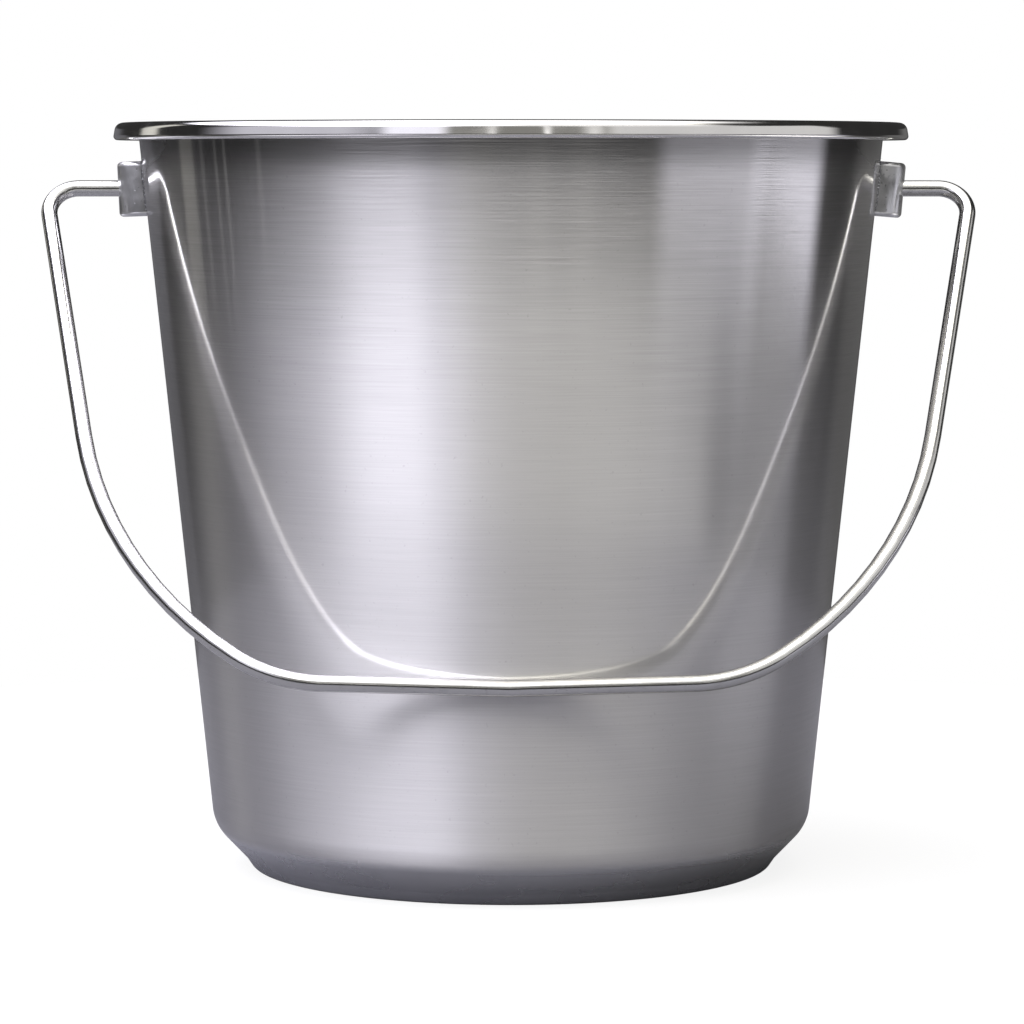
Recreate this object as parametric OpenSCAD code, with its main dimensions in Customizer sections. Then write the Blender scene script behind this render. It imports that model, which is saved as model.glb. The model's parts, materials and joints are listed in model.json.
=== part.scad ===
// Tapered stainless steel milking pail: one drawn sheet with a stepped foot and a
// rolled rim, two pressed ears welded to its wall, and a swinging wire bail.
// Millimetres, +Z up. The origin is the centre of the ring that the pail stands on.
// The ears lie along X. The bail hangs down the front, which is the -Y side.

/* [Pail body] */
// Height from the floor to the top of the rim
pail_h = 293.6; // [250:0.1:330]
// Outer diameter of the rolled rim
rim_d = 312; // [310:0.5:318]
// Outer diameter that the tapered wall would reach at the top of the rim
mouth_d = 293.4; // [290:0.2:296]
// Lean of the wall from the vertical
taper = 5.9; // [4:0.1:7]
// Thickness of the sheet
sheet_t = 0.9; // [0.7:0.1:1.2]

/* [Rim] */
// Height of the rolled rim
rim_h = 6.8; // [6.5:0.1:9]
// Bend where the wall turns out into the rim, at mid-sheet
rim_inner_r = 3.4; // [2.5:0.1:4]
// Bend over the outer top edge of the rim, at mid-sheet
rim_outer_r = 2.9; // [2:0.1:3]
// Slope of the rim's skirt, which flares a little as it comes down
skirt_slope = 80; // [75:1:90]
// Curl that hides the cut edge under the skirt, at mid-sheet
curl_r = 1.05; // [0.9:0.05:1.3]
// How far round the curl goes
curl_turn = 170; // [90:5:200]

/* [Foot] */
// Outer diameter of the flat ring that touches the floor
ring_d = 202.6; // [196:0.2:206]
// Width of that flat ring
ring_w = 3; // [2:0.5:6]
// Height that the base panel is pressed up inside the ring
base_rise = 2; // [1:0.1:4]
// Slope of the step from the ring up to the base panel
base_step = 30; // [20:1:45]
// Bends on both sides of that step, at mid-sheet
base_bend_r = 2.5; // [2:0.1:3]
// Outer radius at the bottom edge of the foot
foot_edge_r = 2.8; // [2:0.1:4]
// Slope of the short foot, from the vertical
foot_slope = 34; // [20:1:40]
// Length of the short foot
foot_len = 3.7; // [2:0.1:6]
// Outer radius of the hollow between the foot and the chamfer
hollow_r = 4.2; // [3:0.1:8]
// Slope of the chamfer above the foot, from the vertical
chamfer_slope = 43.6; // [41:0.1:50]
// Outer radius of the shoulder between the chamfer and the wall
shoulder_r = 16.5; // [10:0.5:20]

/* [Ears] */
// Height of the bail's pivot above the floor
pivot_z = 267.9; // [200:0.1:268]
// Height of an ear
ear_h = 21.6; // [18:0.1:24]
// Radius of an ear, which is half round seen from above
ear_r = 10.8; // [10:0.1:12]
// Thickness of an ear's pressed sheet
ear_t = 1.2; // [1:0.1:1.5]
// Rounding of an ear's top and bottom edges
ear_edge_r = 1.8; // [1.6:0.1:3]
// Play between the wire and its hole, on the radius
hole_play = 0.5; // [0.3:0.1:0.8]
// Gap between an ear's cut edge and the wall
ear_gap = 0.15; // [0.1:0.05:0.3]
// How far the left ear is welded off square, its top towards the wall
left_ear_lean = 3.5; // [0:0.5:5]
// How far the right ear is welded off square, its top towards the wall
right_ear_lean = 1; // [0:0.5:5]
// Radius of the weld bead along each edge of an ear
weld_r = 0.8; // [0.6:0.1:0.9]

/* [Bail] */
// Diameter of the bail wire
wire_d = 6.35; // [5:0.05:7]
// Distance from the pivot to the middle of the grip
bail_drop = 223.4; // [210:0.1:226]
// Half the length of the gently bowed grip
grip_half = 70; // [60:1:72]
// Rise of the bowed grip at its end, as a slope
grip_slope = 3.65; // [2:0.05:5]
// Bend at each end of the grip, at mid-wire
corner_r = 60; // [50:1:64]
// Slope of the wire, from the horizontal, where that bend ends
corner_slope = 35.8; // [34:0.1:38]
// Sweep from the corner up into the straight arm, at mid-wire
sweep_r = 151.4; // [146:0.1:154]
// Slope of the straight arms, from the horizontal
arm_slope = 79.6; // [78:0.1:81]
// Bend from the arm into the pivot, at mid-wire
pivot_bend_r = 11; // [9:0.5:12]
// Diameter of the upset head on each end of the wire
head_d = 9; // [8:0.1:9.5]
// Thickness of that head
head_t = 2.2; // [1.5:0.1:2.5]
// Distance from the wall to the outer face of the head
head_reach = 6.2; // [5.5:0.1:6.6]
// How far the bail has slid to the left in its ears
bail_shift = 1; // [0:0.1:1.5]
// Clearance between the hanging grip and the wall
rest_gap = 0.3; // [0.3:0.1:1]

/* [Hidden] */
$fn = 96;

LEFT = -1;
RIGHT = 1;
STEEL = [0.76, 0.76, 0.77];
EAR_STEEL = [0.66, 0.66, 0.68];
WELD_STEEL = [0.55, 0.55, 0.57];
WIRE_STEEL = [0.84, 0.84, 0.85];
ARC_STEP = 7.5;

// Neighbouring lengths of the wire differ a hair in radius, and the thinner one runs a
// little way into the thicker one, so that they join cleanly with no faces in common.
wire_hair = 0.01;
wire_lap = 0.3;

// Outer radius of the wall at a height.
function wall_r(z) = mouth_d / 2 - (pail_h - z) * tan(taper);

// A path is a list of steps: [length] goes straight on, and [radius, turn] bends,
// to the left where the turn is positive. A station on the path is [x, y, heading].
function straight(s, length) = [s[0] + length * cos(s[2]), s[1] + length * sin(s[2]), s[2]];
function bend(s, radius, turn) =
    let (side = sign(turn), heading = s[2] + turn)
    [
        s[0] + side * radius * (sin(heading) - sin(s[2])),
        s[1] - side * radius * (cos(heading) - cos(s[2])),
        heading
    ];
function step_end(s, step) = len(step) == 1 ? straight(s, step[0]) : bend(s, step[0], step[1]);
function stations(s, steps, i = 0) =
    i == len(steps) ? [s] : concat([s], stations(step_end(s, steps[i]), steps, i + 1));

// The same steps with each bend cut into small ones.
function fine(steps) = [
    for (step = steps)
        let (parts = len(step) == 1 ? 1 : ceil(abs(step[1]) / ARC_STEP))
        for (part = [1:parts]) len(step) == 1 ? step : [step[0], step[1] / parts]
];

// A point beside a station, to its left where the distance is positive.
function beside(s, distance) = [s[0] - distance * sin(s[2]), s[1] + distance * cos(s[2])];

// Outline of a sheet that follows a path at mid-thickness.
function sheet_outline(path, thickness) = concat(
    [for (s = path) beside(s, -thickness / 2)],
    [for (i = [len(path) - 1:-1:0]) beside(path[i], thickness / 2)]
);

// Mid-sheet path of the pail, from the middle of the base to the end of the curl.
half_t = sheet_t / 2;
wall_heading = 90 - taper;
foot_heading = 90 - foot_slope;
chamfer_heading = 90 - chamfer_slope;

base_step_steps = [
    [base_bend_r, -base_step],
    [(base_rise - 2 * base_bend_r * (1 - cos(base_step))) / sin(base_step)],
    [base_bend_r, base_step]
];
base_step_end = stations([0, base_rise + half_t, 0], base_step_steps)[3];
ring_inner_r = ring_d / 2 - ring_w;
base_steps = concat([[ring_inner_r - base_step_end[0]]], base_step_steps, [[ring_w]]);

foot_steps = [
    [foot_edge_r - half_t, foot_heading],
    [foot_len],
    [hollow_r + half_t, chamfer_heading - foot_heading]
];
shoulder_steps = [[shoulder_r - half_t, wall_heading - chamfer_heading]];

// The chamfer is as long as it takes for the shoulder to end on the line of the wall.
ring_station = [ring_d / 2, half_t, 0];
foot_top = stations(ring_station, foot_steps)[3];
shoulder_top = stations(foot_top, shoulder_steps)[1];
wall_mid_r = wall_r(shoulder_top[1]) - half_t / cos(taper);
chamfer_len = (wall_mid_r - shoulder_top[0])
    / (cos(chamfer_heading) - sin(chamfer_heading) * tan(taper));

rim_bend_z = pail_h - half_t - rim_inner_r * (1 - cos(wall_heading));
wall_start_z = shoulder_top[1] + chamfer_len * sin(chamfer_heading);
wall_len = (rim_bend_z - wall_start_z) / cos(taper);

skirt_len = (rim_h - sheet_t - rim_outer_r * (1 - cos(skirt_slope))
    - curl_r * (1 + cos(skirt_slope))) / sin(skirt_slope);
rim_steps = [
    [rim_inner_r, -wall_heading],
    [rim_outer_r, -skirt_slope],
    [skirt_len],
    [curl_r, -curl_turn]
];
rim_start = [wall_r(rim_bend_z) - half_t / cos(taper), rim_bend_z, wall_heading];
rim_reach = stations(rim_start, rim_steps)[3][0] + curl_r * (1 - sin(skirt_slope)) + half_t;
rim_flat = rim_d / 2 - rim_reach;

pail_steps = concat(
    base_steps, foot_steps, [[chamfer_len]], shoulder_steps, [[wall_len]],
    [rim_steps[0]], [[rim_flat]], [rim_steps[1], rim_steps[2], rim_steps[3]]
);
pail_path = stations([0, base_rise + half_t, 0], fine(pail_steps));

// Path of half the bail in its own plane, from the middle of the grip up to the pivot.
arm_top_y = -pivot_bend_r * (1 + cos(arm_slope));
grip_steps = [
    [grip_half / sin(grip_slope), grip_slope],
    [corner_r, corner_slope - grip_slope],
    [sweep_r, arm_slope - corner_slope]
];
grip_centre = [0, -bail_drop, 0];
sweep_top = stations(grip_centre, grip_steps)[3];
arm_steps = [
    [(arm_top_y - sweep_top[1]) / sin(arm_slope)],
    [pivot_bend_r, 180 - arm_slope]
];
bend_end = stations(sweep_top, arm_steps)[2];
head_x = wall_r(pivot_z) + head_reach;
stub_len = bend_end[0] - head_x;
bail_steps = concat(grip_steps, arm_steps, [[stub_len]]);
bail_stations = stations(grip_centre, bail_steps);

// Angle, from straight down, at which the hanging grip comes to rest on the tapered wall.
wall_distance = wall_r(pivot_z) * cos(taper) + wire_d / 2 + rest_gap;
rest_angle = asin(wall_distance / bail_drop) - taper;

// One step of the bail's wire, in the XY plane.
module wire_step(s, step, thick) {
    wire_r = wire_d / 2 + (thick ? wire_hair : 0);
    lap = thick ? 0 : wire_lap;
    translate([s[0], s[1], 0]) {
        if (len(step) == 1) {
            rotate([0, 90, s[2]]) translate([0, 0, -lap])
                cylinder(h = step[0] + 2 * lap, r = wire_r);
        } else {
            lap_turn = lap / step[0] * 180 / PI;
            translate([-step[0] * sin(s[2]), step[0] * cos(s[2]), 0])
                rotate([0, 0, s[2] - 90 - lap_turn])
                    rotate_extrude(angle = step[1] + 2 * lap_turn)
                        translate([step[0], 0]) circle(r = wire_r);
        }
    }
}

// The grip's bow goes straight across the middle, so half a bail starts after it.
module half_bail() {
    for (i = [1:len(bail_steps) - 1])
        wire_step(bail_stations[i], bail_steps[i], thick = i % 2 == 0);
    translate([head_x, 0, 0]) rotate([0, -90, 0]) cylinder(h = head_t, d = head_d);
}

module grip_bow() {
    bow_end = bail_stations[1];
    wire_step([-bow_end[0], bow_end[1], -grip_slope], [bail_steps[0][0], 2 * grip_slope], thick = true);
}

// Half-round form of an ear as a full disc, which the wall cuts in half.
module ear_form(radius, height, edge_r) {
    rotate_extrude() {
        translate([0, -height / 2]) square([radius - edge_r, height]);
        translate([0, edge_r - height / 2]) square([radius, height - 2 * edge_r]);
        for (z = [-1, 1])
            translate([radius - edge_r, z * (height / 2 - edge_r)]) circle(r = edge_r);
    }
}

// The space inside the wall, grown outwards by a gap.
module wall_space(gap) {
    bottom = pivot_z - 2 * ear_h;
    top = pivot_z + 2 * ear_h;
    translate([0, 0, bottom])
        cylinder(h = top - bottom, r1 = wall_r(bottom) + gap, r2 = wall_r(top) + gap, $fn = 360);
}

module ear(side, lean) {
    mirror([side == LEFT ? 1 : 0, 0, 0]) difference() {
        translate([wall_r(pivot_z), 0, pivot_z]) rotate([0, taper - lean, 0]) difference() {
            ear_form(ear_r, ear_h, ear_edge_r);
            ear_form(ear_r - ear_t, ear_h - 2 * ear_t, ear_edge_r - ear_t);
        }
        wall_space(ear_gap);
        translate([wall_r(pivot_z), 0, pivot_z]) rotate([0, 90, 0])
            cylinder(h = 2 * ear_r, d = wire_d + 2 * hole_play);
    }
}

// A bead of weld along each upright edge of an ear, in the corner with the wall.
module ear_weld(side) {
    bead_len = ear_h - 2 * ear_edge_r;
    wall_x = sqrt(pow(wall_r(pivot_z), 2) - pow(ear_r, 2));
    for (y = [-ear_r, ear_r])
        translate([side * wall_x, y, pivot_z]) rotate([0, side * taper, 0])
            cylinder(h = bead_len, r = weld_r, center = true);
}

module pail_body() {
    color(STEEL) rotate_extrude($fn = 360) polygon(sheet_outline(pail_path, sheet_t));
}

module left_ear() {
    color(EAR_STEEL) ear(LEFT, left_ear_lean);
}

module right_ear() {
    color(EAR_STEEL) ear(RIGHT, right_ear_lean);
}

module left_ear_weld() {
    color(WELD_STEEL) ear_weld(LEFT);
}

module right_ear_weld() {
    color(WELD_STEEL) ear_weld(RIGHT);
}

module bail() {
    color(WIRE_STEEL)
        translate([-bail_shift, 0, pivot_z]) rotate([90 - rest_angle, 0, 0]) {
            grip_bow();
            half_bail();
            mirror([1, 0, 0]) half_bail();
        }
}

pail_body();
left_ear();
right_ear();
left_ear_weld();
right_ear_weld();
bail();
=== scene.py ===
"""Looks of a stainless steel milking pail: a lathe-turned body with a rolled rim, two pressed
ears, their weld beads and a swinging wire bail. Metres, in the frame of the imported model."""

import json
import math
import random

import bmesh
import bpy
from mathutils import Matrix, Vector, noise


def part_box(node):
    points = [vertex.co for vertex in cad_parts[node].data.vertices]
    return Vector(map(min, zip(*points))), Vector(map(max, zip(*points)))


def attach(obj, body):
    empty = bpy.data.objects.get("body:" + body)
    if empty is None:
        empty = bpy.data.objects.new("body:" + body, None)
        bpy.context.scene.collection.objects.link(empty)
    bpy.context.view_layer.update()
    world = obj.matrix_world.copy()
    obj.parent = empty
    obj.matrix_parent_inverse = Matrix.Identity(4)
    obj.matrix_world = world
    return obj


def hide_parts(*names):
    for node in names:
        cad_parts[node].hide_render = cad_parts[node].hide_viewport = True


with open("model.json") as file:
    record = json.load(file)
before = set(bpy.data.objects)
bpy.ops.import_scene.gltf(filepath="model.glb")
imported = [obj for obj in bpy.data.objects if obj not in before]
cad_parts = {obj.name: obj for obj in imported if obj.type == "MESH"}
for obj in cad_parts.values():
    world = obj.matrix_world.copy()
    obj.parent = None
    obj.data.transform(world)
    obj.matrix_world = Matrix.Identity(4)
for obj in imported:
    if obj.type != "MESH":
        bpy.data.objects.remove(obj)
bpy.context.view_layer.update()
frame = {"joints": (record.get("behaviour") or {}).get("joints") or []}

# ---------------------------------------------------------------- camera
CAMERA_DISTANCE = 1.6736
CAMERA_HEIGHT = 0.2786
CAMERA_SIDE = 0.0004
CAMERA_PITCH = math.radians(4.74)
CAMERA_LENS = 148.73
SENSOR_WIDTH = 36

# ---------------------------------------------------------------- body
MM = 0.001
SHEET = 0.9 * MM
TAPER = math.radians(5.9)
MOUTH_R = 146.7 * MM
ARC_STEP = math.radians(4)
BODY_SEGMENTS = 384
WALL_RING = 8 * MM

PAIL_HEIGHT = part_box("pail_body")[1].z
RIM_R = (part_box("pail_body")[1].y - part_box("pail_body")[0].y) / 2
RIM_HEIGHT = 6.8 * MM
RIM_INNER_R = 3.4 * MM
RIM_OUTER_R = 2.9 * MM
SKIRT_SLOPE = math.radians(80)
CURL_R = 1.05 * MM
CURL_TURN = math.radians(170)

RING_R = 101.3 * MM
RING_WIDTH = 3 * MM
BASE_RISE = 2 * MM
BASE_STEP = math.radians(30)
BASE_BEND_R = 2.5 * MM
FOOT_EDGE_R = 2.8 * MM
FOOT_SLOPE = math.radians(34)
FOOT_LENGTH = 3.7 * MM
HOLLOW_R = 4.2 * MM
CHAMFER_SLOPE = math.radians(43.6)
SHOULDER_R = 16.5 * MM

# ---------------------------------------------------------------- ears and bail
PIVOT_Z = frame["joints"][0]["pos_m"][2]
EAR_HEIGHT = 21.6 * MM
EAR_R = 10.8 * MM
EAR_SHEET = 1.2 * MM
EAR_EDGE_R = 1.8 * MM
EAR_GAP = 0.15 * MM
EAR_LEANS = {"left_ear": math.radians(3.5), "right_ear": math.radians(1.0)}
EAR_SEGMENTS = 128
EAR_SOFTEN = 0.18 * MM
SHARP = math.radians(35)
HOLE_R = 3.675 * MM

WELD_R = 0.8 * MM
WELD_SINK = 0.1 * MM
WELD_ROWS = 48
WELD_SIDES = 12
# A bead's radius as shares of WELD_R: on average, its ripple and its ends.
BEAD_MEAN = 0.92
BEAD_RIPPLE = 0.3
BEAD_TIP = 0.05
BEAD_RIPPLES = 17
# Spatter on the wall and drops on the ear: how many along an edge, how far up and down from the
# pivot as a share of the ear's height, where beside the edge, and their radius in mm.
SPATTER_COUNT = 9
SPATTER_SPREAD = 0.55
SPATTER_AWAY_MM = (0.4, 3.2)
SPATTER_R_MM = (0.12, 0.3)
DROP_COUNT = 10
DROP_SPREAD = 0.42
DROP_TURN_DEG = (3, 24)
DROP_R_MM = (0.12, 0.32)
DROP_SINK = 0.02 * MM
LUMP_FLATTEN = 0.6

WIRE_R = 3.175 * MM
BAIL_DROP = 223.4 * MM
GRIP_HALF = 70 * MM
GRIP_SLOPE = math.radians(3.65)
CORNER_R = 60 * MM
CORNER_SLOPE = math.radians(35.8)
SWEEP_R = 151.4 * MM
ARM_SLOPE = math.radians(79.6)
PIVOT_BEND_R = 11 * MM
HEAD_R = 4.5 * MM
HEAD_THICKNESS = 2.2 * MM
HEAD_REACH = 6.2 * MM
BAIL_SHIFT = 1.0 * MM
REST_ANGLE = math.radians(35.1655)
WIRE_SEGMENTS = 40

# ---------------------------------------------------------------- colours and finish
STEEL = (0.66, 0.65, 0.645)
# The foot is darker than the wall: partly the satin steel's own tone, partly painted shade for the
# shadowed floor it mirrors.
FOOT_STEEL_SHADED = (0.6, 0.6, 0.615)
EAR_STEEL = (0.66, 0.66, 0.665)
WELD_METAL = (0.45, 0.45, 0.46)
WIRE_STEEL = (0.54, 0.537, 0.528)

# Lobes are (share, roughness).
WALL_LOBES = [(0.2, 0.24), (0.38, 0.4), (0.42, 0.6)]
EAR_LOBES = [(0.55, 0.18), (0.45, 0.42)]
CLEAR_ROUGHNESS = 0.07
CLEAR_SHARE_LOW = 0.21
CLEAR_SHARE_HIGH = 0.64
RIM_ROUGHNESS = 0.08
FOOT_ROUGHNESS = 0.28
WELD_ROUGHNESS = 0.35
WIRE_ROUGHNESS = 0.16
BRUSH_END = 13.5 * MM
BRUSH_FADE = 4.5 * MM

FLOOR_R = 0.62
FLOOR_GLOW = 0.86


# ---------------------------------------------------------------- paths
def straight(length):
    return ("straight", length)


def bend(radius, turn):
    """A bend to the left where the turn is positive."""
    return ("bend", radius, turn)


def moved(station, step, share=1.0):
    """The station [x, y, heading] after a share of a step."""
    x, y, heading = station
    if step[0] == "straight":
        run = step[1] * share
        return (x + run * math.cos(heading), y + run * math.sin(heading), heading)
    turn = step[2] * share
    side = math.copysign(1, step[2])
    end = heading + turn
    return (
        x + side * step[1] * (math.sin(end) - math.sin(heading)),
        y - side * step[1] * (math.cos(end) - math.cos(heading)),
        end,
    )


def stations(start, steps, longest):
    """Stations along named steps, each with the name of the stretch that leads to it."""
    found = [(start, steps[0][0])]
    station = start
    for name, step in steps:
        size = step[1] / longest if step[0] == "straight" else abs(step[2]) / ARC_STEP
        parts = max(1, math.ceil(size - 1e-6))
        for part in range(1, parts + 1):
            found.append((moved(station, step, part / parts), name))
        station = moved(station, step)
    return found


def end_of(start, steps):
    for _, step in steps:
        start = moved(start, step)
    return start


def wall_r(z):
    return MOUTH_R - (PAIL_HEIGHT - z) * math.tan(TAPER)


def body_steps():
    """The sheet's path at mid-thickness, from the middle of the base to the end of the curl."""
    half = SHEET / 2
    wall_heading = math.pi / 2 - TAPER
    foot_heading = math.pi / 2 - FOOT_SLOPE
    chamfer_heading = math.pi / 2 - CHAMFER_SLOPE
    step_rise = BASE_RISE - 2 * BASE_BEND_R * (1 - math.cos(BASE_STEP))
    base_step = [
        ("base", bend(BASE_BEND_R, -BASE_STEP)),
        ("base", straight(step_rise / math.sin(BASE_STEP))),
        ("base", bend(BASE_BEND_R, BASE_STEP)),
    ]
    start = (0.0, BASE_RISE + half, 0.0)
    panel_r = RING_R - RING_WIDTH - end_of(start, base_step)[0]
    foot = [
        ("foot", bend(FOOT_EDGE_R - half, foot_heading)),
        ("foot", straight(FOOT_LENGTH)),
        ("foot", bend(HOLLOW_R + half, chamfer_heading - foot_heading)),
    ]
    shoulder = ("wall", bend(SHOULDER_R - half, wall_heading - chamfer_heading))
    foot_top = end_of((RING_R, half, 0.0), foot)
    shoulder_top = moved(foot_top, shoulder[1])
    short = wall_r(shoulder_top[1]) - half / math.cos(TAPER) - shoulder_top[0]
    chamfer = short / (math.cos(chamfer_heading) - math.sin(chamfer_heading) * math.tan(TAPER))
    wall_z = shoulder_top[1] + chamfer * math.sin(chamfer_heading)
    bend_z = PAIL_HEIGHT - half - RIM_INNER_R * (1 - math.cos(wall_heading))
    rim_start = (wall_r(bend_z) - half / math.cos(TAPER), bend_z, wall_heading)
    skirt = (
        RIM_HEIGHT - SHEET - RIM_OUTER_R * (1 - math.cos(SKIRT_SLOPE))
        - CURL_R * (1 + math.cos(SKIRT_SLOPE))
    ) / math.sin(SKIRT_SLOPE)
    rim = [
        ("rim", bend(RIM_INNER_R, -wall_heading)),
        ("rim", bend(RIM_OUTER_R, -SKIRT_SLOPE)),
        ("rim", straight(skirt)),
        ("rim", bend(CURL_R, -CURL_TURN)),
    ]
    reach = end_of(rim_start, rim[:3])[0] + CURL_R * (1 - math.sin(SKIRT_SLOPE)) + half
    rim.insert(1, ("rim", straight(RIM_R - reach)))
    wall = ("wall", straight((bend_z - wall_z) / math.cos(TAPER)))
    steps = [("base", straight(panel_r))] + base_step + [("base", straight(RING_WIDTH))]
    return start, steps + foot + [("foot", straight(chamfer)), shoulder, wall] + rim


# ---------------------------------------------------------------- meshes
def link(mesh, name):
    piece = bpy.data.objects.new(name, mesh)
    bpy.context.scene.collection.objects.link(piece)
    return piece


def beside(station, distance):
    """A point beside a station, to its left where the distance is positive."""
    x, y, heading = station
    return (x - distance * math.sin(heading), y + distance * math.cos(heading))


def body_mesh(name):
    """Turns the sheet's outline round Z. Material 0 to 3: rim, brushed wall, foot, inside."""
    start, steps = body_steps()
    path = stations(start, steps, WALL_RING)
    outer = [(beside(s, -SHEET / 2), zone, (math.sin(s[2]), -math.cos(s[2]))) for s, zone in path]
    inner = [(beside(s, SHEET / 2), zone, (-math.sin(s[2]), math.cos(s[2]))) for s, zone in path]
    outside = {"rim": 0, "wall": 1, "foot": 2, "base": 2}
    inside = {"rim": 0, "wall": 3, "foot": 3, "base": 3}
    work = bmesh.new()
    normals = []

    def ring(point, normal):
        if point[0] < 1e-6:
            normals.append((0.0, 0.0, normal[1]))
            return [work.verts.new((0, 0, point[1]))] * BODY_SEGMENTS
        verts = []
        for i in range(BODY_SEGMENTS):
            angle = 2 * math.pi * i / BODY_SEGMENTS
            co, si = math.cos(angle), math.sin(angle)
            verts.append(work.verts.new((point[0] * co, point[0] * si, point[1])))
            normals.append((normal[0] * co, normal[0] * si, normal[1]))
        return verts

    def skin(rows, zones, flip):
        rings = [ring(point, normal) for point, _, normal in rows]
        for row in range(1, len(rings)):
            material = zones[rows[row][1]]
            for i in range(BODY_SEGMENTS):
                j = (i + 1) % BODY_SEGMENTS
                corners = [rings[row - 1][i], rings[row - 1][j], rings[row][j], rings[row][i]]
                corners = list(dict.fromkeys(corners))
                face = work.faces.new(corners[::-1] if flip else corners)
                face.material_index = material
                face.smooth = True
        return rings[-1]

    outer_end = skin(outer, outside, False)
    inner_end = skin(inner, inside, True)
    for i in range(BODY_SEGMENTS):
        j = (i + 1) % BODY_SEGMENTS
        face = work.faces.new((outer_end[i], outer_end[j], inner_end[j], inner_end[i]))
        face.smooth = False
    mesh = bpy.data.meshes.new(name)
    work.to_mesh(mesh)
    work.free()
    mesh.normals_split_custom_set_from_vertices(normals)
    return mesh


def bail_mesh(name):
    """Sweeps the wire along the bail's path, with an upset head on each end. UV is round, along."""
    arm_top = -PIVOT_BEND_R * (1 + math.cos(ARM_SLOPE))
    grip = [
        ("grip", bend(GRIP_HALF / math.sin(GRIP_SLOPE), GRIP_SLOPE)),
        ("corner", bend(CORNER_R, CORNER_SLOPE - GRIP_SLOPE)),
        ("sweep", bend(SWEEP_R, ARM_SLOPE - CORNER_SLOPE)),
    ]
    centre = (0.0, -BAIL_DROP, 0.0)
    sweep_top = end_of(centre, grip)
    arm = [
        ("arm", straight((arm_top - sweep_top[1]) / math.sin(ARM_SLOPE))),
        ("pivot", bend(PIVOT_BEND_R, math.pi - ARM_SLOPE)),
    ]
    head_x = wall_r(PIVOT_Z) + HEAD_REACH
    stub = straight(end_of(sweep_top, arm)[0] - head_x)
    steps = grip + arm + [("stub", stub)]
    half = [station for station, _ in stations(centre, steps, WALL_RING)]
    left = [(-x, y, -heading) for x, y, heading in reversed(half[1:])]
    path = left + half
    edge = HEAD_R / 6
    head = [(0, WIRE_R), (0, HEAD_R - edge), (edge, HEAD_R), (HEAD_THICKNESS - edge, HEAD_R),
            (HEAD_THICKNESS, HEAD_R - edge)]
    rows = [(path[0], -ahead, r) for ahead, r in reversed(head)]
    rows += [(station, 0, WIRE_R) for station in path]
    rows += [(path[-1], ahead, r) for ahead, r in head]
    tilt = Matrix.Translation((-BAIL_SHIFT, 0, PIVOT_Z)) @ Matrix.Rotation(
        math.pi / 2 - REST_ANGLE, 4, "X"
    )
    work = bmesh.new()
    uv = work.loops.layers.uv.new("UVMap")
    rings, lengths = [], []
    travelled, before = 0.0, None
    for (x, y, heading), ahead, radius in rows:
        along = Vector((math.cos(heading), math.sin(heading), 0))
        side = Vector((-math.sin(heading), math.cos(heading), 0))
        middle = Vector((x, y, 0)) + along * ahead
        travelled += 0 if before is None else (middle - before).length
        before = middle
        ring = []
        for i in range(WIRE_SEGMENTS):
            angle = 2 * math.pi * i / WIRE_SEGMENTS
            out = side * math.cos(angle) + Vector((0, 0, math.sin(angle)))
            ring.append(work.verts.new(tilt @ (middle + out * radius)))
        rings.append(ring)
        lengths.append(travelled)
    for row in range(1, len(rings)):
        for i in range(WIRE_SEGMENTS):
            j = (i + 1) % WIRE_SEGMENTS
            low, high = rings[row - 1], rings[row]
            start, end = lengths[row - 1], lengths[row]
            face = work.faces.new((low[i], low[j], high[j], high[i]))
            face.smooth = True
            corners = [(i, start), (i + 1, start), (i + 1, end), (i, end)]
            for loop, (turn, length) in zip(face.loops, corners):
                loop[uv].uv = (turn / WIRE_SEGMENTS, length)
    work.faces.new(rings[0][::-1])
    work.faces.new(rings[-1])
    bmesh.ops.recalc_face_normals(work, faces=work.faces)
    mesh = bpy.data.meshes.new(name)
    work.to_mesh(mesh)
    work.free()
    mesh.set_sharp_from_angle(angle=SHARP)
    return mesh


def turned_solid(profile, segments, name):
    """A closed solid from a profile of (radius, height) points that starts and ends on Z."""
    work = bmesh.new()
    rings = []
    for radius, height in profile:
        if radius < 1e-7:
            rings.append([work.verts.new((0, 0, height))] * segments)
            continue
        rings.append([
            work.verts.new((
                radius * math.cos(2 * math.pi * i / segments),
                radius * math.sin(2 * math.pi * i / segments),
                height,
            ))
            for i in range(segments)
        ])
    for low, high in zip(rings, rings[1:]):
        for i in range(segments):
            j = (i + 1) % segments
            corners = list(dict.fromkeys([low[i], low[j], high[j], high[i]]))
            work.faces.new(corners).smooth = True
    bmesh.ops.recalc_face_normals(work, faces=work.faces)
    mesh = bpy.data.meshes.new(name)
    work.to_mesh(mesh)
    work.free()
    return link(mesh, name)


def ear_profile(radius, height, edge):
    """Half of a rounded rectangle, from the axis at the bottom to the axis at the top."""
    turn = [math.radians(a) for a in range(-90, 1, 10)]
    lower = [
        (radius - edge + edge * math.cos(a), edge - height / 2 + edge * math.sin(a)) for a in turn
    ]
    upper = [(r, -z) for r, z in reversed(lower)]
    return [(0.0, -height / 2)] + lower + upper + [(0.0, height / 2)]


def cut(piece, *cutters):
    """Cuts solids out of a piece, rounds the new edges and keeps the result as its mesh."""
    for cutter in cutters:
        step = piece.modifiers.new("cut", "BOOLEAN")
        step.operation = "DIFFERENCE"
        step.solver = "EXACT"
        step.object = cutter
    soften = piece.modifiers.new("soften", "BEVEL")
    soften.width = EAR_SOFTEN
    soften.segments = 3
    soften.limit_method = "ANGLE"
    soften.angle_limit = SHARP
    soften.harden_normals = True
    depsgraph = bpy.context.evaluated_depsgraph_get()
    mesh = bpy.data.meshes.new_from_object(piece.evaluated_get(depsgraph))
    piece.modifiers.clear()
    piece.data = mesh
    for cutter in cutters:
        bpy.data.objects.remove(cutter)


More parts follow.
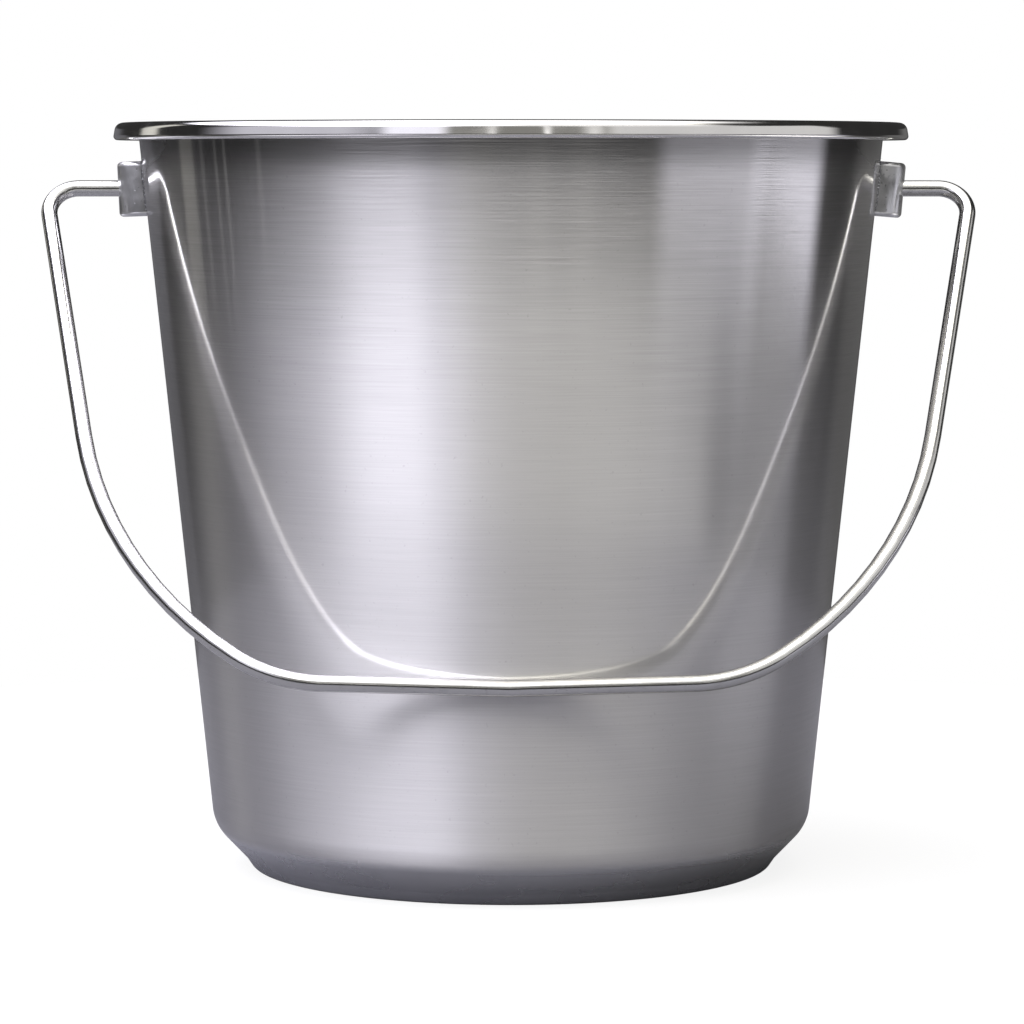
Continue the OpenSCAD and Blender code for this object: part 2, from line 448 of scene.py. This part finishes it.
def ear_piece(name, side, lean):
    """A half-round pressed ear, hollow, with a hole for the wire and its back cut to the wall."""
    place = (
        Matrix.Scale(side, 4, (1, 0, 0))
        @ Matrix.Translation((wall_r(PIVOT_Z), 0, PIVOT_Z))
        @ Matrix.Rotation(TAPER - lean, 4, "Y")
    )
    solid = turned_solid(ear_profile(EAR_R, EAR_HEIGHT, EAR_EDGE_R), EAR_SEGMENTS, name)
    inner_edge = EAR_EDGE_R - EAR_SHEET
    inner = ear_profile(EAR_R - EAR_SHEET, EAR_HEIGHT - 2 * EAR_SHEET, inner_edge)
    hollow = turned_solid(inner, EAR_SEGMENTS, "hollow")
    for part in (solid, hollow):
        part.data.transform(place)
        if side < 0:
            part.data.flip_normals()
    low, high = PIVOT_Z - 2 * EAR_HEIGHT, PIVOT_Z + 2 * EAR_HEIGHT
    space = turned_solid(
        [(0, low), (wall_r(low) + EAR_GAP, low), (wall_r(high) + EAR_GAP, high), (0, high)],
        BODY_SEGMENTS, "space",
    )
    reach = 2 * EAR_R
    bore = turned_solid([(0, 0), (HOLE_R, 0), (HOLE_R, reach), (0, reach)], EAR_SEGMENTS, "bore")
    bore.data.transform(
        Matrix.Translation((side * wall_r(PIVOT_Z), 0, PIVOT_Z))
        @ Matrix.Rotation(side * math.pi / 2, 4, "Y")
    )
    cut(solid, hollow, space, bore)
    return solid


def lump(work, centre, radius, outward):
    """A small round drop of metal, pressed flat along outward."""
    turn = outward.to_track_quat("Z", "Y").to_matrix().to_4x4()
    place = Matrix.Translation(centre) @ turn @ Matrix.Diagonal((1, 1, LUMP_FLATTEN, 1))
    bmesh.ops.create_icosphere(work, subdivisions=2, radius=radius, matrix=place)


def weld_piece(name, side):
    """An uneven bead along each upright edge of an ear, with spatter on the wall beside it and
    drops on the ear."""
    dice = random.Random(name)
    work = bmesh.new()
    bead = EAR_HEIGHT - 2 * EAR_EDGE_R
    for y_side in (-1, 1):
        rings = []
        for row in range(WELD_ROWS + 1):
            share = row / WELD_ROWS
            z = PIVOT_Z + (share - 0.5) * bead
            r = wall_r(z)
            y = y_side * (EAR_R - WELD_SINK)
            centre = Vector((side * math.sqrt(r * r - y * y), y, z))
            # every bead has its own place in the noise
            ripple = noise.noise(Vector((share * BEAD_RIPPLES, y_side * 5, side * 9)))
            blunt_end = math.sqrt(max(0.0, 1 - (2 * share - 1) ** 8))
            radius = WELD_R * (BEAD_MEAN + BEAD_RIPPLE * ripple) * max(blunt_end, BEAD_TIP)
            ring = []
            for i in range(WELD_SIDES):
                angle = 2 * math.pi * i / WELD_SIDES
                out = Vector((math.cos(angle), math.sin(angle), 0))
                ring.append(work.verts.new(centre + out * radius))
            rings.append(ring)
        for low, high in zip(rings, rings[1:]):
            for i in range(WELD_SIDES):
                j = (i + 1) % WELD_SIDES
                work.faces.new((low[i], low[j], high[j], high[i]))
        work.faces.new(rings[0][::-1])
        work.faces.new(rings[-1])
        for _ in range(SPATTER_COUNT):
            z = PIVOT_Z + dice.uniform(-SPATTER_SPREAD, SPATTER_SPREAD) * EAR_HEIGHT
            away = EAR_R + dice.uniform(*SPATTER_AWAY_MM) * MM
            angle = math.asin(away / wall_r(z))
            outward = Vector((side * math.cos(angle), y_side * math.sin(angle), 0))
            centre = outward * wall_r(z) + Vector((0, 0, z))
            lump(work, centre, dice.uniform(*SPATTER_R_MM) * MM, outward)
        for _ in range(DROP_COUNT):
            z = PIVOT_Z + dice.uniform(-DROP_SPREAD, DROP_SPREAD) * EAR_HEIGHT
            turn = math.radians(dice.uniform(*DROP_TURN_DEG))
            outward = Vector((side * math.sin(turn), y_side * math.cos(turn), 0))
            centre = Vector((side * wall_r(PIVOT_Z), 0, z)) + outward * (EAR_R - DROP_SINK)
            centre.x += side * (z - PIVOT_Z) * math.tan(TAPER)
            lump(work, centre, dice.uniform(*DROP_R_MM) * MM, outward)
    for face in work.faces:
        face.smooth = True
    bmesh.ops.recalc_face_normals(work, faces=work.faces)
    mesh = bpy.data.meshes.new(name)
    work.to_mesh(mesh)
    work.free()
    return link(mesh, name)


# ---------------------------------------------------------------- materials
class Graph:
    """Adds and joins nodes of one node tree."""

    def __init__(self, tree):
        self.tree = tree
        tree.nodes.clear()

    def add(self, kind, inputs=None, **settings):
        node = self.tree.nodes.new(kind)
        for key, value in settings.items():
            setattr(node, key, value)
        for key, value in (inputs or {}).items():
            self.put(node.inputs[key], value)
        return node

    def put(self, socket, value):
        if isinstance(value, bpy.types.NodeSocket):
            self.tree.links.new(value, socket)
        else:
            socket.default_value = value

    def math(self, operation, *values):
        node = self.add("ShaderNodeMath", operation=operation)
        for socket, value in zip(node.inputs, values):
            self.put(socket, value)
        return node.outputs[0]

    def vector(self, operation, first, second):
        node = self.add("ShaderNodeVectorMath", {0: first, 1: second}, operation=operation)
        return node.outputs[0]

    def ramp(self, value, low, high, to_low=0.0, to_high=1.0, smooth=False):
        node = self.add(
            "ShaderNodeMapRange",
            {
                "Value": value, "From Min": low, "From Max": high,
                "To Min": to_low, "To Max": to_high,
            },
            interpolation_type="SMOOTHSTEP" if smooth else "LINEAR",
        )
        return node.outputs["Result"]

    def blend(self, share, first, second):
        node = self.add("ShaderNodeMix", data_type="RGBA")
        self.put(node.inputs["Factor"], share)
        self.put(node.inputs[6], first)
        self.put(node.inputs[7], second)
        return node.outputs[2]

    def grain(self, source, scale, detail=2.0, offset=0.0):
        """Noise of 0.5 on average, with about this many cycles to a unit on each axis."""
        place = self.add("ShaderNodeMapping", {
            "Vector": source,
            "Scale": scale,
            "Location": (offset, offset, offset),
        })
        node = self.add(
            "ShaderNodeTexNoise", {"Vector": place.outputs[0], "Scale": 1.0, "Detail": detail}
        )
        return node.outputs["Fac"]


def metal(name, lobes, build, brushed_round=False, layers=()):
    """Steel as one or more lobes of (share, roughness), whose shares add up to 1. Brushing round
    the pail spreads its reflections up and down. build gives the tint, what wear adds to the
    roughness, the bump's height and its distance. Each layer over the lobes is (roughness,
    brushed round, share from place to place)."""
    material = bpy.data.materials.new(name)
    material.use_nodes = True
    graph = Graph(material.node_tree)
    source = graph.add("ShaderNodeTexCoord").outputs["Object"]
    tint, wear, height, distance = build(graph, source)
    bump = graph.add("ShaderNodeBump", {"Height": height, "Distance": distance, "Strength": 1.0})
    around = graph.add("ShaderNodeTangent", direction_type="RADIAL", axis="Z")

    def lobe(roughness, spread_upright):
        node = graph.add("ShaderNodeBsdfPrincipled", {
            "Base Color": tint,
            "Metallic": 1.0,
            "Roughness": graph.math("ADD", wear, roughness),
            "Normal": bump.outputs[0],
        })
        if spread_upright:
            node.inputs["Anisotropic"].default_value = 1.0
            node.inputs["Anisotropic Rotation"].default_value = 0.25
            graph.put(node.inputs["Tangent"], around.outputs[0])
        return node.outputs[0]

    def over(surface, share, top):
        return graph.add("ShaderNodeMixShader", {0: share, 1: surface, 2: top}).outputs[0]

    total, roughness = lobes[0]
    surface = lobe(roughness, brushed_round)
    for share, roughness in lobes[1:]:
        total += share
        surface = over(surface, share / total, lobe(roughness, brushed_round))
    for roughness, spread_upright, share in layers:
        surface = over(surface, share(graph, source), lobe(roughness, spread_upright))
    graph.add("ShaderNodeOutputMaterial", {"Surface": surface})
    return material


def height_of(graph, source):
    return graph.add("ShaderNodeSeparateXYZ", {0: source}).outputs[2]


def clearer_at_top(graph, source):
    """The wall is clearest just under the rim, where the brush leaves off."""
    z = height_of(graph, source)
    return graph.ramp(z, 0.62 * PAIL_HEIGHT, 0.96 * PAIL_HEIGHT,
                      CLEAR_SHARE_LOW, CLEAR_SHARE_HIGH, smooth=True)


def satin_at_foot(graph, source):
    """Brushing gives way to the satin foot round the shoulder."""
    z = height_of(graph, source)
    return graph.ramp(z, BRUSH_END + BRUSH_FADE, BRUSH_END, smooth=True)


def shade(colour, factor):
    return (colour[0] * factor, colour[1] * factor, colour[2] * factor, 1.0)


def brushed(colour, contrast=0.08):
    """Fine lines that run round the pail, deeper towards the rim, with painted shade just under it.
    Low down the tint goes over to the foot's."""
    def build(graph, source):
        z = height_of(graph, source)
        fine = graph.grain(source, (30, 30, 2200), 2.0)
        medium = graph.grain(source, (14, 14, 1000), 3.0, 7.0)
        flecks = graph.grain(source, (700, 700, 700), 1.0, 11.0)
        cloud = graph.grain(source, (14, 14, 20), 3.0, 3.0)
        fine = graph.math("MULTIPLY", fine, 0.7)
        medium = graph.math("MULTIPLY", medium, 0.3)
        lines = graph.math("ADD", fine, medium)
        deep = graph.ramp(z, 0.55 * PAIL_HEIGHT, 0.95 * PAIL_HEIGHT, 0.4, 1.0)
        lines = graph.math("MULTIPLY", graph.math("SUBTRACT", lines, 0.5), deep)
        clear = graph.ramp(lines, -0.15, 0.15)
        tint = graph.blend(clear, shade(colour, 1 - contrast), shade(colour, 1 + contrast))
        tint = graph.blend(graph.ramp(flecks, 0.7, 0.82, 0.0, 0.3), tint, shade(colour, 0.6))
        # Painted shade: the tint darkens just under the rim, where the rim's shadow and the dark
        # gap beneath it fall on the wall.
        painted_rim_shade = graph.ramp(
            z, 0.925 * PAIL_HEIGHT, 0.972 * PAIL_HEIGHT, 0.0, 0.75, smooth=True
        )
        tint = graph.blend(painted_rim_shade, tint, shade(colour, 0.3))
        tint = graph.blend(satin_at_foot(graph, source), tint, shade(FOOT_STEEL_SHADED, 1.0))
        wear = graph.ramp(cloud, 0.3, 0.7, -0.02, 0.03)
        return tint, wear, lines, 0.02 * MM
    return build


def polished(colour):
    """Buffed steel with faint rings and cloudy wear."""
    def build(graph, source):
        rings = graph.grain(source, (12, 12, 1500), 2.0)
        cloud = graph.grain(source, (60, 60, 60), 4.0, 5.0)
        tint = graph.blend(graph.ramp(cloud, 0.3, 0.7), shade(colour, 0.93), shade(colour, 1.0))
        wear = graph.ramp(cloud, 0.35, 0.75, -0.02, 0.1)
        return tint, wear, rings, 0.002 * MM
    return build


def satin(colour):
    """Drawn steel that the brush doesn't reach: even, with fine grain."""
    def build(graph, source):
        fine = graph.grain(source, (1800, 1800, 1800), 2.0)
        cloud = graph.grain(source, (30, 30, 60), 3.0, 9.0)
        tint = graph.blend(graph.ramp(cloud, 0.3, 0.7), shade(colour, 0.95), shade(colour, 1.03))
        wear = graph.ramp(cloud, 0.3, 0.7, -0.03, 0.03)
        return tint, wear, fine, 0.01 * MM
    return build


def pressed(colour):
    """The ears: satin, with upright drawing marks and small pits."""
    def build(graph, source):
        marks = graph.grain(source, (900, 900, 60), 2.0)
        spots = graph.grain(source, (700, 700, 500), 1.0, 4.0)
        pits = graph.ramp(spots, 0.72, 0.84)
        cloud = graph.grain(source, (160, 160, 160), 4.0, 2.0)
        tint = graph.blend(graph.ramp(cloud, 0.3, 0.7), shade(colour, 0.82), shade(colour, 1.08))
        tint = graph.blend(pits, tint, shade(colour, 0.35))
        height = graph.math("SUBTRACT", graph.math("MULTIPLY", marks, 0.4), pits)
        wear = graph.ramp(cloud, 0.3, 0.7, -0.06, 0.08)
        return tint, wear, height, 0.03 * MM
    return build


def cast(colour):
    """Weld metal: dull and dark, with bright specks."""
    def build(graph, source):
        rough = graph.grain(source, (900, 900, 900), 4.0)
        specks = graph.ramp(graph.grain(source, (1500, 1500, 1500), 1.0, 6.0), 0.55, 0.68)
        tint = graph.blend(specks, shade(colour, 0.35), shade(colour, 1.5))
        wear = graph.ramp(specks, 0.0, 1.0, 0.1, -0.12)
        return tint, wear, rough, 0.1 * MM
    return build


def drawn_wire(colour):
    """Bright wire with lengthwise drawing lines and handling scuffs, on the UV of the sweep."""
    def build(graph, source):
        uv = graph.add("ShaderNodeTexCoord").outputs["UV"]
        lines = graph.grain(uv, (40, 50, 1), 2.0)
        scuffs = graph.grain(uv, (7, 160, 1), 3.0, 5.0)
        dirt = graph.grain(source, (500, 500, 500), 3.0, 8.0)
        marks = graph.ramp(scuffs, 0.58, 0.72)
        tint = graph.blend(marks, shade(colour, 1.0), shade(colour, 0.8))
        tint = graph.blend(graph.ramp(dirt, 0.66, 0.8), tint, shade(colour, 0.55))
        wear = graph.math("MULTIPLY", marks, 0.12)
        return tint, wear, lines, 0.02 * MM
    return build


# ---------------------------------------------------------------- stage and light
def floor_material():
    """Nearly white with a faint shadow where the camera sees it, and grey where the steel
    mirrors it."""
    material = bpy.data.materials.new("pale_floor")
    material.use_nodes = True
    graph = Graph(material.node_tree)
    source = graph.add("ShaderNodeTexCoord").outputs["Object"]
    cloud = graph.grain(source, (3, 3, 3), 2.0)
    tint = graph.blend(cloud, (0.61, 0.61, 0.61, 1), (0.63, 0.63, 0.63, 1))
    shadowed = graph.add("ShaderNodeBsdfDiffuse", {"Color": tint})
    lit = graph.add("ShaderNodeEmission", {"Color": (1, 1, 1, 1), "Strength": 1.0})
    shown = graph.add(
        "ShaderNodeMixShader", {0: FLOOR_GLOW, 1: shadowed.outputs[0], 2: lit.outputs[0]}
    )
    mirrored = graph.add("ShaderNodeBsdfDiffuse", {"Color": (0.15, 0.15, 0.162, 1)})
    seen = graph.add("ShaderNodeLightPath").outputs["Is Camera Ray"]
    both = graph.add(
        "ShaderNodeMixShader", {0: seen, 1: mirrored.outputs[0], 2: shown.outputs[0]}
    )
    graph.add("ShaderNodeOutputMaterial", {"Surface": both.outputs[0]})
    return material


def studio(panels):
    """The room as the pail sees it: dark, with soft boxes that fade out at their edges. The
    camera sees it white."""
    world = bpy.data.worlds.new("studio")
    bpy.context.scene.world = world
    world.use_nodes = True
    graph = Graph(world.node_tree)
    way = graph.add(
        "ShaderNodeSeparateXYZ", {0: graph.add("ShaderNodeTexCoord").outputs["Generated"]}
    )
    x, y, z = way.outputs
    azimuth = graph.math("DEGREES", graph.math("ARCTAN2", x, graph.math("MULTIPLY", y, -1.0)))
    height = graph.math("DEGREES", graph.math("ARCSINE", z))
    total = None
    for _, middle, half, low, high, edge, rise, tint in panels:
        away = graph.math("SUBTRACT", azimuth, middle)
        away = graph.math("ABSOLUTE", graph.math("WRAP", away, 180.0, -180.0))
        across = graph.ramp(away, half + edge / 2, half - edge / 2, smooth=True)
        over = graph.ramp(height, low - rise / 2, low + rise / 2, smooth=True)
        under = graph.ramp(height, high + rise / 2, high - rise / 2, smooth=True)
        mask = graph.math("MULTIPLY", graph.math("MULTIPLY", over, under), across)
        light = graph.vector("MULTIPLY", mask, tint)
        total = light if total is None else graph.vector("ADD", total, light)
    room = graph.add("ShaderNodeBackground", {"Color": total, "Strength": 1.0})
    white = graph.add("ShaderNodeBackground", {"Color": (1, 1, 1, 1), "Strength": 1.0})
    seen = graph.add("ShaderNodeLightPath").outputs["Is Camera Ray"]
    both = graph.add(
        "ShaderNodeMixShader", {0: seen, 1: room.outputs[0], 2: white.outputs[0]}
    )
    graph.add("ShaderNodeOutputWorld", {"Surface": both.outputs[0]})


COOL = (0.97, 0.96, 1.07)
NEUTRAL = (1.0, 0.99, 0.98)
WARM = (1.02, 1.0, 0.92)


def lamp(tint, strength):
    return tuple(c * strength for c in tint)


# The bands of the room's light, in degrees: name, middle and half width in azimuth, counted from
# the front towards +X, lowest and highest elevation, how wide the sides and the top and bottom
# fade, and the light.
PANELS = [
    ("room_low", 0, 200, -91, -8.5, 1, 2, lamp(NEUTRAL, 0.12)),
    ("room_high", 0, 200, -8.5, 91, 1, 2, lamp(NEUTRAL, 0.035)),
    ("top_left", -80, 62, 36, 95, 53, 6, lamp(COOL, 7.3)),
    ("top_front", 28, 45, 49, 95, 32, 15, lamp(WARM, 5.5)),
    ("top_back", 180, 100, 56, 95, 40, 15, lamp(NEUTRAL, 2.2)),
    ("key", -50, 24, 30, 50, 38, 12, lamp(COOL, 5.4)),
    ("key_low", -39, 18, -19, -12.4, 27, 1, lamp(COOL, 1.3)),
    ("left_low", -56, 26, -30, -17, 27, 4, lamp(COOL, 1.5)),
    ("front_low", 25, 45, -24, -13.3, 12, 1.5, lamp(NEUTRAL, 0.86)),
    ("rim_top", 8, 62, 30, 42, 30, 3, lamp(NEUTRAL, 1.5)),
    ("rim_left", -66, 26, 8, 28, 22, 4, lamp(COOL, 0.8)),
    ("rim_end", -128, 5, 4, 30, 3, 3, lamp(WARM, 0.9)),
    ("rim_key", -28, 9, 8, 30, 5, 3, lamp(COOL, 1.4)),
    ("rim_base", 5, 26, 8, 30, 5, 3, lamp(WARM, 0.3)),
    ("rim_gap_1", -5.5, 0.8, 8, 30, 1.2, 3, lamp(NEUTRAL, 1.4)),
    ("rim_gap_2", 10.5, 0.8, 8, 30, 1.2, 3, lamp(NEUTRAL, 1.4)),
    ("rim_gap_3", 24, 2, 8, 30, 2, 3, lamp(NEUTRAL, 0.9)),
    ("rim_right", 68, 39, 5, 30, 7, 3, lamp(NEUTRAL, 0.85)),
    ("right_high", 65, 18, -11.6, -6, 9, 1, lamp(COOL, 0.8)),
    ("right_box", 96, 15, -8.9, -3, 9, 0.7, lamp(COOL, 1.35)),
    ("right_low", 94, 19, -60, -20, 24, 6, lamp(NEUTRAL, 3.4)),
    ("right_edge", 152, 16, -9, 4, 12, 2, lamp(NEUTRAL, 0.12)),
    ("left_edge", -158, 12, -9, 4, 8, 2, lamp(COOL, 0.13)),
    ("rear_left_low", -140, 24, -40, -19, 24, 6, lamp(COOL, 1.4)),
    ("strip_1", -119, 4, -8.3, 2, 3, 1, lamp(WARM, 0.2)),
    ("strip_2", -110, 0.8, -9.5, 2, 1.5, 1, lamp(NEUTRAL, 0.1)),
    ("strip_3", -103, 0.6, -9.7, 0, 1, 1, lamp(NEUTRAL, 0.13)),
    ("strip_4", -98.5, 0.6, -9.7, 0, 1, 1, lamp(NEUTRAL, 0.15)),
    ("strip_5", -83.5, 0.8, -10, -2, 1.5, 1, lamp(NEUTRAL, 0.12)),
    ("strip_6", -10, 4, -13, -11, 5, 1, lamp(WARM, 0.14)),
    ("strip_7", 8, 3, -13, -11, 4, 1, lamp(WARM, 0.12)),
    ("strip_8", 22, 4, -13, -11, 5, 1, lamp(WARM, 0.12)),
]


def make_camera():
    data = bpy.data.cameras.new("camera")
    data.lens = CAMERA_LENS
    data.sensor_width = SENSOR_WIDTH
    camera = bpy.data.objects.new("camera", data)
    camera.location = (CAMERA_SIDE, -CAMERA_DISTANCE, CAMERA_HEIGHT)
    camera.rotation_euler = (math.pi / 2 - CAMERA_PITCH, 0, 0)
    bpy.context.scene.collection.objects.link(camera)
    bpy.context.scene.camera = camera


def make_floor():
    work = bmesh.new()
    bmesh.ops.create_circle(work, cap_ends=True, segments=96, radius=FLOOR_R)
    mesh = bpy.data.meshes.new("floor")
    work.to_mesh(mesh)
    work.free()
    floor = link(mesh, "floor")
    floor.data.materials.append(floor_material())


make_camera()
make_floor()
studio(PANELS)
bpy.context.scene.view_settings.view_transform = "Standard"

WALL_LAYERS = [(CLEAR_ROUGHNESS, True, clearer_at_top), (FOOT_ROUGHNESS, False, satin_at_foot)]
body = link(body_mesh("pail_shell"), "pail_shell")
for material in (
    metal("rim_polished", [(1.0, RIM_ROUGHNESS)], polished(STEEL)),
    metal("wall_brushed", WALL_LOBES, brushed(STEEL), True, WALL_LAYERS),
    metal("foot_satin", [(1.0, FOOT_ROUGHNESS)], satin(FOOT_STEEL_SHADED)),
    metal("inside_brushed", WALL_LOBES, brushed(STEEL, 0.04), True),
):
    body.data.materials.append(material)
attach(body, "pail")
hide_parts("pail_body")

ear_steel = metal("ear_steel", EAR_LOBES, pressed(EAR_STEEL))
weld_metal = metal("weld_metal", [(1.0, WELD_ROUGHNESS)], cast(WELD_METAL))
for node, side in (("left_ear", -1), ("right_ear", 1)):
    ear = ear_piece(node + "_shell", side, EAR_LEANS[node])
    ear.data.materials.clear()
    ear.data.materials.append(ear_steel)
    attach(ear, "pail")
    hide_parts(node)
    weld = weld_piece(node + "_bead", side)
    weld.data.materials.append(weld_metal)
    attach(weld, "pail")
    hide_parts(node + "_weld")

bail = link(bail_mesh("bail_wire"), "bail_wire")
bail.data.materials.append(
    metal("wire_bright", [(1.0, WIRE_ROUGHNESS)], drawn_wire(WIRE_STEEL))
)
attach(bail, "bail")
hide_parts("bail")
